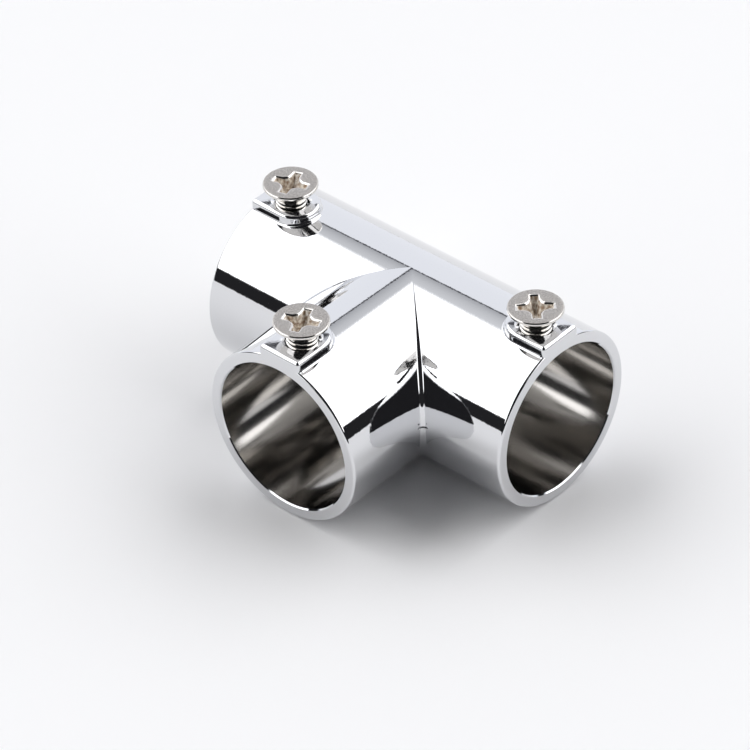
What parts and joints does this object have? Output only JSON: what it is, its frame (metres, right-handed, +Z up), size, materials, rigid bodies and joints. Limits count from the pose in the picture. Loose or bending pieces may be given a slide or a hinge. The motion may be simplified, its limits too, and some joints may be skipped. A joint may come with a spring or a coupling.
{
  "type": "tube connector",
  "caption": "T-shaped chrome connector for round tube: a through run and a side branch at right angles, with a clamp screw in a raised pad at each mouth.",
  "frame": {"origin": "where the run's axis and the branch's axis cross", "axes": "+X along the run, -Y out along the branch, +Z up along the clamp screws"},
  "size_m": [0.06, 0.0451, 0.0341],
  "materials": {
    "chromed_casting": "bright chrome plate on a zinc die casting",
    "screw_steel": "nickel-plated steel, satin on the head's top"
  },
  "bodies": {
    "casting": {"tee_body": "chromed_casting"},
    "right_clamp": {"run_right_screw": "screw_steel"},
    "left_clamp": {"run_left_screw": "screw_steel"},
    "branch_clamp": {"branch_screw": "screw_steel"}
  },
  "joints": [
    {"name": "right_screw_advance", "type": "slide", "parent": "casting", "child": "right_clamp", "axis": [0, 0, -1], "range_m": [-0.0012, 0.0016]},
    {"name": "left_screw_advance", "type": "slide", "parent": "casting", "child": "left_clamp", "axis": [0, 0, -1], "range_m": [-0.0012, 0.0016]},
    {"name": "branch_screw_advance", "type": "slide", "parent": "casting", "child": "branch_clamp", "axis": [0, 0, -1], "range_m": [-0.0012, 0.0016]}
  ]
}
